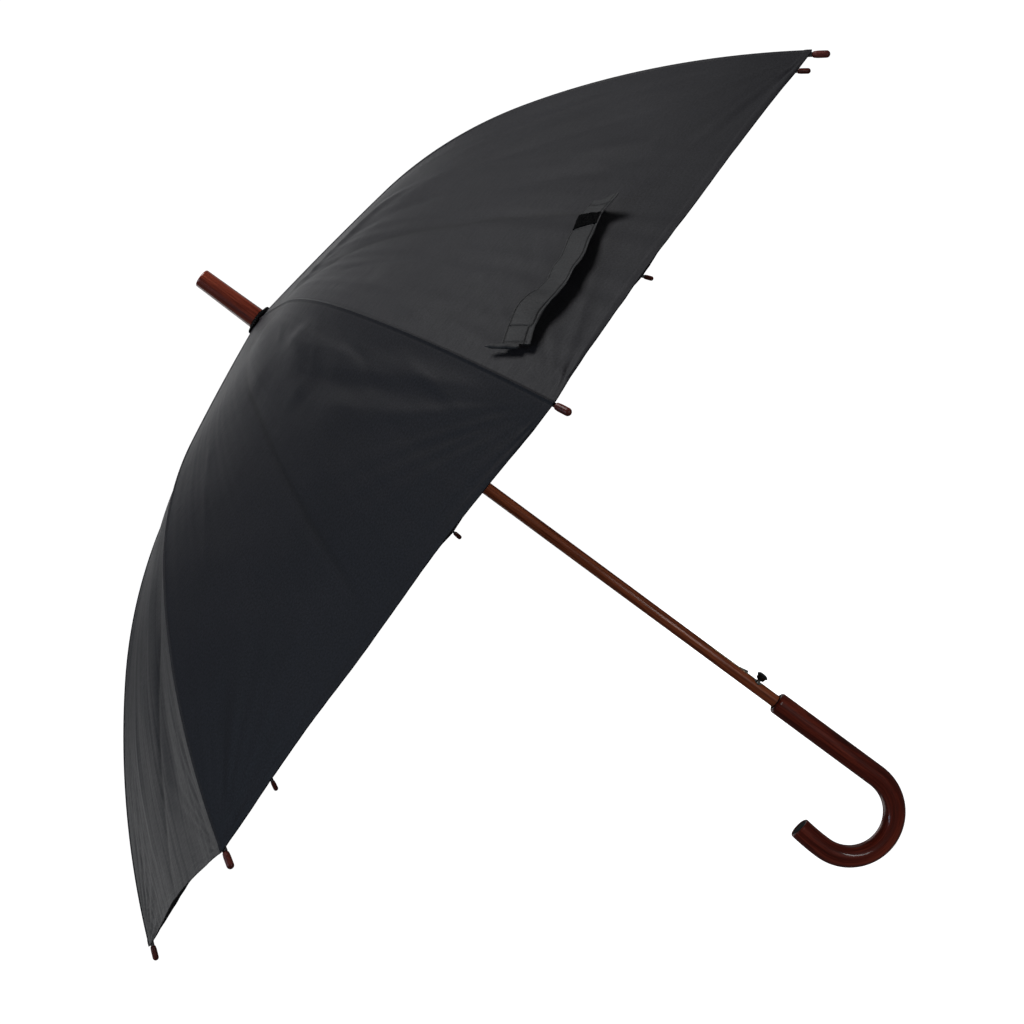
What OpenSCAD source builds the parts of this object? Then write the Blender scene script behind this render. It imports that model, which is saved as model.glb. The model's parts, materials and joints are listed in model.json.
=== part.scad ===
/* [Canopy] */
// Radius of the open canopy at its corners
rim_r = 512; // [480:1:560]
// Height of the corners above the middle of the grip
rim_z = 395; // [385:1:410]
// Number of ribs and of canopy panels
ribs = 8; // [8]
// Direction of the first rib, in degrees about the shaft
first_rib = 7.5; // [0:0.5:44]
// Thickness of the cloth with its seams
cloth_t = 0.5; // [0.4:0.1:1]
// How far the hem is cut in towards the crown between two corners
hem_rise = 8; // [0:1:20]

/* [Rib curve] */
// Slope of the ribs where they leave the crown, in degrees
crown_slope = 11; // [10:0.5:12]
// Slope where the ribs' bend begins
bend_start = 13.2; // [13:0.1:14]
// Slope where the tighter bend in the ribs' middle ends
bend_end = 33.6; // [32:0.2:35]
// Slope of the ribs at the corners
rim_slope = 51; // [49:0.5:53]
// Bend radius of the ribs' middle
middle_r = 445; // [430:5:460]
// Bend radius of the ribs' outer part
outer_r = 785; // [760:5:810]

/* [Frame] */
// Height of a rib's channel section
rib_h = 3; // [2.5:0.1:3.5]
// Width of a rib's channel section
rib_w = 2.6; // [2.2:0.1:2.8]
// Slope of the ribs at the stretcher joint
joint_slope = 22; // [21:0.5:23]
// Distance of the rib and stretcher hinges from the shaft's axis
hinge_r = 9; // [9]
// Wire that strings the ribs on the notch and the stretchers on the runner
wire_d = 1.2; // [1:0.1:1.2]
// Length of a rib tip
tip_len = 13.5; // [12:0.5:20]
// Diameter of a rib tip
tip_d = 5.5; // [5:0.5:8]

/* [Shaft and handle] */
// Diameter of the shaft
shaft_d = 12; // [12]
// Bore of the shaft
shaft_bore = 9; // [8:0.5:9]
// Diameter of the ferrule at its base
ferrule_d = 20; // [17:0.5:22]
// Diameter of the ferrule at its top
ferrule_top_d = 18; // [16:0.5:20]
// Top of the ferrule above the middle of the grip
ferrule_top = 724.6; // [715:0.1:735]
// Diameter of the crown cap
cap_d = 30; // [26:1:34]
// Diameter of the handle
handle_d = 21; // [20:0.5:23]
// Length of the handle's straight grip
grip_len = 117.6; // [110:0.1:120]
// Radius of the hook, to the middle of the handle
hook_r = 42; // [38:0.5:50]
// Length of the hook's free end beyond its half circle
hook_end = 34.6; // [20:0.1:40]

/* [Catch] */
// Direction of the button and the catch, midway between two ribs
catch_az = -15; // [-15]
// Height of the button above the middle of the grip
button_z = 83.9; // [83.5:0.1:85]
// Top diameter of the button
button_d = 11.3; // [9:0.1:12]
// Lower end of the catch's slot
slot_low = 70.7; // [69:0.1:72]
// Upper end of the catch's slot
slot_high = 143.4; // [140:0.1:146]

/* [Strap] */
// Width of the tie strap
strap_w = 20; // [15:1:22]
// Panel that the tie strap is sewn to
strap_panel = 7; // [7]

/* [Hidden] */
$fn = 48;

step_az = 360 / ribs;
half_az = step_az / 2;
shaft_r = shaft_d / 2;
handle_r = handle_d / 2;

function normal(b) = [sin(b), cos(b)];

// The canopy's meridian is three arcs that run smoothly into each other. It starts at the ribs'
// hinges, and the first arc, nearly straight, makes up what the other two leave of its width.
slopes = [crown_slope, bend_start, bend_end, rim_slope];
inner_r =
    (
        rim_r - hinge_r
        - middle_r * (sin(bend_end) - sin(bend_start))
        - outer_r * (sin(rim_slope) - sin(bend_end))
    ) / (sin(bend_start) - sin(crown_slope));
crown_z =
    rim_z
    + inner_r * (cos(crown_slope) - cos(bend_start))
    + middle_r * (cos(bend_start) - cos(bend_end))
    + outer_r * (cos(bend_end) - cos(rim_slope));
arc_rs = [inner_r, middle_r, outer_r];
inner_centre = [hinge_r, crown_z] - inner_r * normal(crown_slope);
middle_centre = inner_centre + (inner_r - middle_r) * normal(bend_start);
outer_centre = middle_centre + (middle_r - outer_r) * normal(bend_end);
arc_centres = [inner_centre, middle_centre, outer_centre];

// Lengths along the meridian where each arc starts, and where the last one ends
bend_from = inner_r * (bend_start - crown_slope) * PI / 180;
bend_to = bend_from + middle_r * (bend_end - bend_start) * PI / 180;
cloth_len = bend_to + outer_r * (rim_slope - bend_end) * PI / 180;
arc_from = [0, bend_from, bend_to];

// The ribs lie under the cloth, clear of the panels that slope away on both sides.
rib_gap = 0.8;
rib_off = -(cloth_t + rib_gap + rib_h / 2);
hinge_z = on_arc(0, rib_off, slope_at_r(hinge_r))[1];

// Stretcher joint, hung under the rib, and the runner's hinge straight below the notch's.
joint_drop = 4;
joint_x = on_arc(1, rib_off - joint_drop, joint_slope)[0];
joint_z = on_arc(1, rib_off - joint_drop, joint_slope)[1];
link_len = norm([joint_x - hinge_r, hinge_z - joint_z]);
link_slope = asin((hinge_z - joint_z) / link_len);
runner_z = 2 * joint_z - hinge_z;

// Eyes, slots and rivets of the hinges
eye_r = 1.6;
eye_t = 1.4;
eye_bore = wire_d / 2 + 0.1;
strip_len = 9;
slot_w = 2.2;
slot_root = 7.1;
flange_r = 12.5;
rivet_r = 0.8;
ear_gap = 0.9;
ear_t = 1;

// Runner sleeve and the pin that drives it
sleeve_r = 7.8;
sleeve_bore = shaft_r + 0.1;
drive_z = runner_z - 20;
drive_r = 1.2;
drive_az = catch_az + 90;

// Spring anchor and closed place of the runner
notch_pin_z = hinge_z - 11;
fold_angle = 61;
fold_slope = link_slope + fold_angle;
runner_travel = 2 * link_len * (sin(fold_slope) - sin(link_slope));

// Runner sleeve: closed, it ends above the button, and its window's edge holds the catch's step.
sleeve_low = button_z + button_d / 2 + 1.2 + runner_travel;
step_z = 96.9;
window_low = step_z - 0.5 + runner_travel;
window_len = 12;
window_w = 4;

// Plug that closes the hook's free end
plug_r = 8.7;

// Catch and button
leaf_w = 2.4;
liner_w = 3.4;
leaf_pivot_z = slot_high - 2.6;
leaf_pivot_r = 5.1;
tail_r = 4.2;
button_reach = 14;
button_hole_r = 4.65;
cup_low = 7.9;
stem_r = 1.9;

// Crown cap and ferrule
cap_low = crown_z + 0.3;
cap_t = 3.7;
ferrule_low = cap_low + cap_t;

function rib_az(i) = first_rib + step_az * (i - 1);

// A point in a rib's own plane, on one arc of the meridian, where its slope is b. It is off outside
// the cloth's outer face.
function on_arc(k, off, b) = arc_centres[k] + (arc_rs[k] + off) * normal(b);

// Slope of a rib's middle line at a distance from the shaft's axis, near the crown
function slope_at_r(r) = asin((r - inner_centre[0]) / (inner_r + rib_off));

// The point at a length along the meridian from its start
function on_meridian(off, len) =
    let (k = len < bend_from ? 0 : len < bend_to ? 1 : 2)
    on_arc(k, off, slopes[k] + (len - arc_from[k]) / arc_rs[k] * 180 / PI);

// A point of panel i, at a length from the crown and share s of the way from rib i to the next
function on_panel(i, off, len, s) =
    let (
        q = on_meridian(off, len),
        a = rib_az(i),
        p0 = [q[0] * cos(a), q[0] * sin(a)],
        p1 = [q[0] * cos(a + step_az), q[0] * sin(a + step_az)],
        p = p0 + s * (p1 - p0)
    )
    [p[0], p[1], q[1]];

// A closed sheet: top and bottom grids of rows x cols points, joined round the edge
module sheet(top, bottom, rows, cols) {
    count = rows * cols;
    upper = [
        for (j = [0:rows - 2]) for (k = [0:cols - 2])
            let (a = j * cols + k)
            for (f = [[a, a + 1, a + cols + 1], [a, a + cols + 1, a + cols]]) f
    ];
    lower = [for (f = upper) [f[2] + count, f[1] + count, f[0] + count]];
    border = concat(
        [for (k = [0:cols - 2]) k],
        [for (j = [0:rows - 2]) j * cols + cols - 1],
        [for (k = [cols - 1:-1:1]) (rows - 1) * cols + k],
        [for (j = [rows - 1:-1:1]) j * cols]
    );
    n = len(border);
    rim = [
        for (e = [0:n - 1])
            let (a = border[e], b = border[(e + 1) % n])
            for (f = [[b, a, a + count], [b, a + count, b + count]]) f
    ];
    polyhedron(points = concat(top, bottom), faces = concat(upper, lower, rim), convexity = 4);
}

module at_rib(i) {
    rotate([0, 0, rib_az(i)]) children();
}

module at_catch() {
    rotate([0, 0, catch_az]) children();
}

// Something drawn along Z, turned to lie across the rib or catch plane and centred there
module across() {
    rotate([90, 0, 0]) children();
}

// A profile swept along one arc of the meridian, from slope b0 to b1
module sweep_arc(k, b0, b1) {
    translate([arc_centres[k][0], 0, arc_centres[k][1]])
        rotate([90, 0, 0])
            rotate([0, 0, 90 - b1])
                rotate_extrude(angle = b1 - b0, $fn = 360) translate([arc_rs[k], 0]) children();
}

// A U section open on its inner side, between offsets r0 and r1
module channel_section(r0, r1, w, wall) {
    polygon([
        [r0, -w / 2], [r1, -w / 2], [r1, w / 2], [r0, w / 2],
        [r0, w / 2 - wall], [r1 - wall, w / 2 - wall],
        [r1 - wall, wall - w / 2], [r0, wall - w / 2]
    ]);
}

module ring_wire(z) {
    translate([0, 0, z])
        rotate_extrude()
            translate([hinge_r, 0]) circle(r = wire_d / 2, $fn = 24);
}

// A hub with a slot for each rib or stretcher and a groove for its wire
module slotted_flange(z, below, above, bore) {
    difference() {
        translate([0, 0, z - below]) cylinder(r = flange_r, h = below + above);
        translate([0, 0, z - below - 1]) cylinder(r = bore, h = below + above + 2);
        for (i = [1:ribs])
            at_rib(i)
                translate([slot_root, -slot_w / 2, z - below - 1])
                    cube([flange_r, slot_w, below + above + 2]);
        translate([0, 0, z])
            rotate_extrude()
                translate([hinge_r, 0]) circle(r = wire_d / 2 + 0.02, $fn = 24);
    }
}

module shaft() {
    top = ferrule_top - 22;
    color("#5a2f20") difference() {
        translate([0, 0, 0.5]) cylinder(r = shaft_r, h = top - 0.5);
        translate([0, 0, -1]) cylinder(d = shaft_bore, h = top + 2);
        at_catch() {
            translate([1, -liner_w / 2, slot_low])
                cube([shaft_r, liner_w, slot_high - slot_low]);
            translate([1, 0, button_z]) rotate([0, 90, 0]) cylinder(r = button_hole_r, h = shaft_r);
        }
        rotate([0, 0, drive_az])
            translate([1, -drive_r - 0.2, drive_z - runner_travel - 3])
                cube([shaft_r, 2 * drive_r + 0.4, runner_travel + 6]);
        translate([0, 0, notch_pin_z]) across() cylinder(r = 1, h = shaft_d + 2, center = true);
    }
}

// A round bar's end, standing on z = 0, with its upper edge rounded
module rounded_end(length, round_r) {
    rotate_extrude()
        polygon(concat(
            [[0, 0], [handle_r, 0]],
            [
                for (a = [0:15:90])
                    [handle_r - round_r + round_r * cos(a), length - round_r + round_r * sin(a)]
            ],
            [[0, length]]
        ));
}

module at_hook_end() {
    translate([-2 * hook_r, 0, -grip_len / 2]) children();
}

module handle() {
    straight = grip_len / 2;
    color("#3c1612") difference() {
        union() {
            translate([0, 0, -straight]) rounded_end(grip_len, 3);
            translate([-hook_r, 0, -straight])
                rotate([90, 0, 0])
                    rotate([0, 0, 180])
                        rotate_extrude(angle = 180, $fn = 96)
                            translate([hook_r, 0]) circle(r = handle_r, $fn = 64);
            at_hook_end() rounded_end(hook_end, 1.5);
        }
        cylinder(r = shaft_r + 0.02, h = straight + 1);
        translate([0, 0, straight - 1.6]) cylinder(r = 7.6, h = 3);
        at_hook_end() translate([0, 0, hook_end - 4]) cylinder(r = plug_r + 0.03, h = 5);
    }
}

module handle_collar() {
    color("#151314")
        translate([0, 0, grip_len / 2 - 1.6])
            difference() {
                cylinder(r = 7.55, h = 2);
                translate([0, 0, -1]) cylinder(r = shaft_r + 0.02, h = 4);
            }
}

module handle_end_plug() {
    color("#151314")
        at_hook_end() translate([0, 0, hook_end - 4])
            rotate_extrude()
                polygon([[0, 0], [plug_r, 0], [plug_r, 3.2], [plug_r - 0.5, 3.6], [5, 4], [0, 4.1]]);
}

module ferrule() {
    height = ferrule_top - ferrule_low;
    edge = 1.8;
    r = ferrule_d / 2;
    top_r = ferrule_top_d / 2;
    color("#6e2d1e") difference() {
        translate([0, 0, ferrule_low])
            rotate_extrude()
                polygon(concat(
                    [[0, 0], [r - 0.5, 0], [r, 0.5]],
                    [
                        for (a = [0:15:90])
                            [top_r - edge + edge * cos(a), height - edge + edge * sin(a)]
                    ],
                    [[0, height]]
                ));
        translate([0, 0, ferrule_low - 1]) cylinder(r = shaft_r + 0.02, h = ferrule_top - 21 - ferrule_low);
    }
}

module crown_cap() {
    crimps = 40;
    color("#121213") difference() {
        union() {
            translate([0, 0, cap_low])
                linear_extrude(height = 1.6)
                    polygon([
                        for (a = [0:360 / crimps / 4:359.9])
                            (cap_d / 2 - 0.5 + 0.5 * cos(a * crimps)) * [cos(a), sin(a)]
                    ]);
            translate([0, 0, cap_low + 1.6])
                cylinder(r1 = cap_d / 2 - 1.2, r2 = ferrule_d / 2 + 1.6, h = cap_t - 1.6, $fn = 64);
        }
        translate([0, 0, cap_low - 1]) cylinder(r = shaft_r + 0.02, h = cap_t + 2);
    }
}

module top_notch() {
    color("#1b1b1d") {
        difference() {
            union() {
                slotted_flange(hinge_z, 4, 1.1, shaft_r + 0.02);
                translate([0, 0, hinge_z - 16]) cylinder(r = 8, h = 12);
            }
            translate([0, 0, hinge_z - 17]) cylinder(r = shaft_r + 0.02, h = 20);
            translate([0, 0, notch_pin_z])
                across() cylinder(r = 1.02, h = 4 * shaft_r, center = true);
        }
    }
}

module notch_wire() {
    color("silver") ring_wire(hinge_z);
}

module notch_pin() {
    color("silver")
        translate([0, 0, notch_pin_z]) across() cylinder(r = 1, h = 16, center = true);
}

// Extension spring inside the shaft, drawn as its turns, between the notch pin and the drive pin
module opening_spring() {
    wire = 0.5;
    turn_r = 3.7;
    low = drive_z + drive_r + 0.8;
    high = notch_pin_z - 1.8;
    turns = 60;
    pitch = (high - low) / (turns - 1);
    color("silver")
        for (k = [0:turns - 1])
            translate([0, 0, low + k * pitch])
                rotate_extrude($fn = 24)
                    translate([turn_r, 0]) circle(r = wire, $fn = 16);
}

// Metal lining of the catch's slot, above and below the button's bush
module catch_liner() {
    inner_w = leaf_w + 0.3;
    color("#b08a54") at_catch() difference() {
        translate([4.55, -liner_w / 2 + 0.02, slot_low])
            cube([shaft_r - 4.8, liner_w - 0.04, slot_high - slot_low]);
        translate([4, -inner_w / 2, slot_low + 0.8])
            cube([shaft_r, inner_w, slot_high - slot_low - 1.6]);
        translate([1, 0, button_z])
            rotate([0, 90, 0]) cylinder(r = button_hole_r, h = shaft_r + 2);
        translate([leaf_pivot_r, 0, leaf_pivot_z])
            across() cylinder(r = 0.42, h = 2 * liner_w, center = true);
    }
}

module catch_pin() {
    color("silver") at_catch()
        translate([leaf_pivot_r, 0, leaf_pivot_z])
            across() cylinder(r = 0.4, h = liner_w - 0.1, center = true, $fn = 24);
}

// Sprung leaf: a ramp that the runner presses in, a step that holds it, and a tail under the button
module catch_leaf() {
    ramp_r = 7.8;
    leaf_t = 0.8;
    color("#d8d2c4") at_catch() difference() {
        across()
            linear_extrude(height = leaf_w, center = true)
                polygon([
                    [leaf_pivot_r - leaf_t, slot_high - 1.2], [leaf_pivot_r + leaf_t, slot_high - 1.2],
                    [shaft_r - 0.05, step_z + 10], [ramp_r, step_z + 1.4], [ramp_r, step_z],
                    [tail_r, step_z], [tail_r, button_z - 3],
                    [tail_r - leaf_t, button_z - 3], [tail_r - leaf_t, step_z]
                ]);
        translate([leaf_pivot_r, 0, leaf_pivot_z])
            across() cylinder(r = 0.45, h = 2 * leaf_w, center = true, $fn = 24);
    }
}

module button_bush() {
    color("silver") at_catch()
        translate([tail_r + 0.4, 0, button_z]) rotate([0, 90, 0]) difference() {
            cylinder(r = button_hole_r - 0.05, h = 0.6);
            translate([0, 0, -1]) cylinder(r = stem_r + 0.05, h = 4);
        }
}

module button_stem() {
    foot = tail_r + 0.3;
    color("silver") at_catch()
        translate([foot, 0, button_z]) rotate([0, 90, 0]) cylinder(r = stem_r, h = cup_low + 2 - foot);
}

module button_cap() {
    height = button_reach - cup_low;
    color("#101011") at_catch()
        translate([cup_low, 0, button_z]) rotate([0, 90, 0]) difference() {
            rotate_extrude()
                polygon([
                    [0, 0], [3.4, 0], [4.1, 0.5], [4.3, 2.4], [button_d / 2 - 0.5, 3.6],
                    [button_d / 2, 4.2], [button_d / 2 - 0.2, 4.9], [4.2, height - 0.35],
                    [2.2, height - 0.05], [0, height]
                ]);
            translate([0, 0, -1]) cylinder(r = stem_r, h = 3);
        }
}

module runner() {
    color("#1b1b1d") difference() {
        union() {
            slotted_flange(runner_z, 3, 3, sleeve_bore);
            translate([0, 0, sleeve_low]) cylinder(r = sleeve_r, h = runner_z - 3 - sleeve_low);
            translate([0, 0, sleeve_low]) cylinder(r = sleeve_r + 1.4, h = 3.5);
            translate([0, 0, runner_z - 9])
                cylinder(r1 = sleeve_r, r2 = flange_r - 1, h = 6);
        }
        translate([0, 0, sleeve_low - 1]) cylinder(r = sleeve_bore, h = runner_z + 5 - sleeve_low);
        at_catch()
            translate([shaft_r - 2, -window_w / 2, window_low])
                cube([sleeve_r, window_w, window_len]);
        rotate([0, 0, drive_az])
            translate([0, 0, drive_z]) rotate([0, 90, 0]) cylinder(r = drive_r + 0.02, h = 2 * sleeve_r);
    }
}

module runner_wire() {
    color("silver") ring_wire(runner_z);
}

// Pin that carries the spring's pull from inside the shaft to the runner
module drive_pin() {
    color("silver")
        rotate([0, 0, drive_az])
            translate([-2.5, 0, drive_z])
                rotate([0, 90, 0]) cylinder(r = drive_r, h = sleeve_r + 2.3);
}

module rib(i) {
    strip_h = 2.4;
    from = [slope_at_r(hinge_r + strip_len), bend_start, bend_end];
    to = [bend_start, bend_end, rim_slope];
    plate_r = 2.1;
    color("#8c8d90") at_rib(i) difference() {
        union() {
            for (k = [0:2])
                sweep_arc(k, from[k], to[k])
                    channel_section(rib_off - rib_h / 2, rib_off + rib_h / 2, rib_w, 0.5);
            translate([hinge_r, 0, hinge_z]) rotate([0, crown_slope, 0])
                translate([0, -eye_t / 2, -strip_h / 2]) cube([strip_len + 4, eye_t, strip_h]);
            translate([hinge_r, 0, hinge_z]) across() cylinder(r = eye_r, h = eye_t, center = true);
            translate([joint_x, 0, joint_z]) across() cylinder(r = plate_r, h = eye_t, center = true);
            translate([joint_x, 0, joint_z]) rotate([0, joint_slope, 0])
                translate([-plate_r, -eye_t / 2, 0])
                    cube([2 * plate_r, eye_t, joint_drop + rib_h / 2 - 0.3]);
        }
        translate([hinge_r, 0, hinge_z]) across() cylinder(r = eye_bore, h = 4, center = true);
        translate([joint_x, 0, joint_z]) across() cylinder(r = rivet_r, h = 4, center = true);
    }
}

module rib_tip(i) {
    r = tip_d / 2;
    end = on_arc(2, rib_off, rim_slope);
    color("#6a2f2a") at_rib(i)
        translate([end[0], 0, end[1]])
            rotate([0, 90 + rim_slope, 0])
                rotate_extrude()
                    polygon(concat(
                        [[0, 0], [r - 1.1, 0], [r - 0.3, 1.2], [r, 4]],
                        [for (a = [0:15:90]) [r * cos(a), tip_len - r + r * sin(a)]]
                    ));
}

module joint_rivet(i) {
    half = ear_gap + ear_t + 0.15;
    color("#c9c9cc") at_rib(i)
        translate([joint_x, 0, joint_z]) across() {
            cylinder(r = rivet_r, h = 2 * half, center = true);
            for (side = [-1, 1])
                translate([0, 0, side * (half + 0.25)]) cylinder(r = 1.5, h = 0.5, center = true);
        }
}

module stretcher(i) {
    bar_w = 2.8;
    bar_h = 2.2;
    ear_r = 1.8;
    ear_len = 7;
    color("#8c8d90") at_rib(i)
        translate([hinge_r, 0, runner_z]) rotate([0, -link_slope, 0]) difference() {
            union() {
                across() cylinder(r = eye_r, h = eye_t, center = true);
                translate([0, -eye_t / 2, -bar_h / 2]) cube([strip_len + 1, eye_t, bar_h]);
                translate([strip_len, -bar_w / 2, -bar_h / 2])
                    cube([link_len - strip_len - ear_len, bar_w, bar_h]);
                translate([link_len - ear_len - 1, -ear_gap - ear_t, -bar_h / 2])
                    cube([ear_len + 1, 2 * (ear_gap + ear_t), bar_h]);
                translate([link_len, 0, 0])
                    across() cylinder(r = ear_r, h = 2 * (ear_gap + ear_t), center = true);
            }
            across() cylinder(r = eye_bore, h = 4, center = true);
            translate([strip_len + 2, -bar_w / 2 + 0.5, -bar_h])
                cube([link_len - strip_len - ear_len - 6, bar_w - 1, 2 * bar_h - bar_h / 2 - 0.5]);
            translate([link_len - 4, -ear_gap, -3]) cube([8, 2 * ear_gap, 6]);
            translate([link_len, 0, 0]) across() cylinder(r = rivet_r + 0.08, h = 8, center = true);
        }
}

// One cloth panel, ruled straight from rib to rib, with its hem cut in between the corners
module gore(i) {
    rows = 17;
    cols = 9;
    seam_gap = 0.2;
    grid = function (off) [
        for (j = [0:rows - 1]) for (k = [0:cols - 1])
            let (
                share = k / (cols - 1),
                len = (cloth_len - hem_rise * 4 * share * (1 - share)) * j / (rows - 1),
                edge = seam_gap / (2 * on_meridian(0, len)[0] * sin(half_az))
            )
            on_panel(i, off, len, edge + (1 - 2 * edge) * share)
    ];
    color(i % 2 == 0 ? "#2b2c31" : "#323336")
        sheet(grid(0), grid(-cloth_t), rows, cols);
}

// The strap lies on its panel, from its sewn end beside a rib to its free end with the hook pad
module tie_strap() {
    lift = 0.5;
    strap_t = 1;
    cols = 13;
    start = [528, 0.038];
    finish = [509, 0.511];
    grid = function (off, low, high, width) [
        for (j = [-1, 1]) for (k = [0:cols - 1])
            let (p = start + (finish - start) * (low + (high - low) * k / (cols - 1)))
            on_panel(strap_panel, off, p[0] + j * strap_w / 2 * width, p[1])
    ];
    color("#1d1e22") {
        sheet(grid(lift + strap_t, 0, 1, 1), grid(lift, 0, 1, 1), 2, cols);
        sheet(
            grid(lift + 2 * strap_t + 0.1, 0.76, 0.96, 0.8),
            grid(lift + strap_t + 0.1, 0.76, 0.96, 0.8), 2, cols
        );
    }
}

shaft();
handle();
handle_collar();
handle_end_plug();
ferrule();
crown_cap();
top_notch();
notch_wire();
notch_pin();
opening_spring();
catch_liner();
catch_pin();
catch_leaf();
button_bush();
button_stem();
button_cap();
runner();
runner_wire();
drive_pin();
tie_strap();
for (i = [1:ribs]) {
    rib(i);
    rib_tip(i);
    joint_rivet(i);
    stretcher(i);
    gore(i);
}
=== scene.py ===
"""The looks of a stick umbrella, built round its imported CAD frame.

Metres, +Z along the shaft towards the ferrule. Panel i of the canopy lies between rib i and the
next rib. A place on the canopy is a length from the crown and a share of the way across a panel.
"""
import json
import math

import bmesh
import bpy
import numpy as np
from mathutils import Matrix, Vector


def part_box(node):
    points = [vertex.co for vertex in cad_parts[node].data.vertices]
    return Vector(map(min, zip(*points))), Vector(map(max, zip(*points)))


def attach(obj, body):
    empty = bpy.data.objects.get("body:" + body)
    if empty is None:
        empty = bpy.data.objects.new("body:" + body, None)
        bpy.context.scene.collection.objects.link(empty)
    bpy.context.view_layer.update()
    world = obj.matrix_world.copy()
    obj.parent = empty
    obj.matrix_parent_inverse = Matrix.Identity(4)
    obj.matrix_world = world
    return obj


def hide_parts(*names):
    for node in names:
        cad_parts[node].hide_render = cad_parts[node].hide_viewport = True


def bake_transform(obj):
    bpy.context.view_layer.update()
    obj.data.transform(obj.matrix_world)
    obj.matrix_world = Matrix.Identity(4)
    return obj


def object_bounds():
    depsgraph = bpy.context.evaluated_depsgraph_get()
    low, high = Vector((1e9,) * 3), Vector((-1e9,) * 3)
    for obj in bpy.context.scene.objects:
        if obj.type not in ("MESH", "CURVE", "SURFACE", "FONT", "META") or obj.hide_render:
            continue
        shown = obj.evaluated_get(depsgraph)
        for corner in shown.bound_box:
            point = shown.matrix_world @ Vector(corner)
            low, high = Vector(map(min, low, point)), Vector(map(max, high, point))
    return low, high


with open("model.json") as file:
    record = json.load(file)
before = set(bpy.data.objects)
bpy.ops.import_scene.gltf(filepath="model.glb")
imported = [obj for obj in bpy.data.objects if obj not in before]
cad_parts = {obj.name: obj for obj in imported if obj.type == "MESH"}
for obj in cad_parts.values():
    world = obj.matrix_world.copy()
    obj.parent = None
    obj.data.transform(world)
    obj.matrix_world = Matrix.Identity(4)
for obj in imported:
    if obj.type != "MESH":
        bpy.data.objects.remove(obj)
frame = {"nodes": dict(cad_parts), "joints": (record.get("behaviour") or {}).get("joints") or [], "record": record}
CAD_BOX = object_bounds()
NODES = frame["nodes"]
JOINTS = {joint["name"]: joint for joint in frame["joints"]}
MM = 0.001

# ---------------------------------------------------------------- sizes read from the frame

RIBS = sum(name.startswith("gore_") for name in NODES)
STEP = math.tau / RIBS
HINGE = JOINTS["rib_1_hinge"]["pos_m"]
HINGE_R = math.hypot(HINGE[0], HINGE[1])
FIRST_RIB = math.atan2(HINGE[1], HINGE[0])
RIM_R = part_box("gore_1")[1].x / math.cos(FIRST_RIB)
TOP_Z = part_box("gore_1")[1].z

# The ribs' curve is three arcs that run into each other. SLOPES are the slopes at their ends.
SLOPES = np.radians([11, 13.2, 33.6, 51])
MIDDLE_R = 445 * MM
OUTER_R = 785 * MM
HEM_CUT = 9 * MM
FRONT_HEM_CUT = 5.5 * MM

CLOTH_T = 0.4 * MM
SEAM_H = 0.8 * MM
SEAM_W = 1.0 * MM
SEAM_ZONE = 6 * MM
SEAM_STITCH = 1.9 * MM
HEM_W = 6.5 * MM
HEM_H = 0.35 * MM
HEM_STITCH = 5 * MM
STRAP_PANEL = 7


def azimuth(i):
    return FIRST_RIB + STEP * (i - 1)


def smooth(x, low, high):
    t = np.clip((np.asarray(x, float) - low) / (high - low), 0, 1)
    return t * t * (3 - 2 * t)


def rib_curve():
    """Radii and centres of the curve's three arcs, and the lengths at which they start and end."""
    sine, cosine = np.sin(SLOPES), np.cos(SLOPES)
    outside = MIDDLE_R * (sine[2] - sine[1]) + OUTER_R * (sine[3] - sine[2])
    inner_r = (RIM_R - HINGE_R - outside) / (sine[1] - sine[0])
    radii = np.array([inner_r, MIDDLE_R, OUTER_R])
    centres = [np.array([HINGE_R, TOP_Z]) - inner_r * np.array([sine[0], cosine[0]])]
    for k in (1, 2):
        centres.append(centres[-1] + (radii[k - 1] - radii[k]) * np.array([sine[k], cosine[k]]))
    starts = np.concatenate([[0], np.cumsum(radii * np.diff(SLOPES))])
    return radii, np.array(centres), starts


ARC_RADII, ARC_CENTRES, ARC_STARTS = rib_curve()
CLOTH_LEN = float(ARC_STARTS[-1])


def meridian(length):
    """Distance from the shaft's axis, height and slope at a length along a rib's cloth."""
    arc = np.clip(np.searchsorted(ARC_STARTS, length, side="right") - 1, 0, 2)
    slope = SLOPES[arc] + (length - ARC_STARTS[arc]) / ARC_RADII[arc]
    r = ARC_CENTRES[arc, 0] + ARC_RADII[arc] * np.sin(slope)
    z = ARC_CENTRES[arc, 1] + ARC_RADII[arc] * np.cos(slope)
    return r, z, slope


RIM_Z = float(meridian(CLOTH_LEN)[1])


def chord(length):
    """Width of a panel at a length from the crown."""
    return 2 * meridian(length)[0] * math.sin(STEP / 2)


def hem_cut(i):
    """How far panel i is cut in between its corners. Two of them are cut a little longer."""
    return FRONT_HEM_CUT if i in (STRAP_PANEL, STRAP_PANEL - 1) else HEM_CUT


def hem(i, share):
    """Length from the crown to the hem, which is cut in between two corners."""
    return CLOTH_LEN - hem_cut(i) * 4 * share * (1 - share)


def on_cloth(i, length, share, lift=0.0):
    """Points of panel i, ruled straight from rib to rib and raised by lift."""
    length, share = np.asarray(length, float), np.asarray(share, float)
    r, z, slope = meridian(length)
    a, b = azimuth(i), azimuth(i) + STEP
    across = a + share * STEP
    outward = lift * np.sin(slope)
    x = r * ((1 - share) * math.cos(a) + share * math.cos(b)) + outward * np.cos(across)
    y = r * ((1 - share) * math.sin(a) + share * math.sin(b)) + outward * np.sin(across)
    return np.stack([x, y, z + lift * np.cos(slope) + 0 * share], axis=-1)


# ---------------------------------------------------------------- mesh helpers


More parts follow.
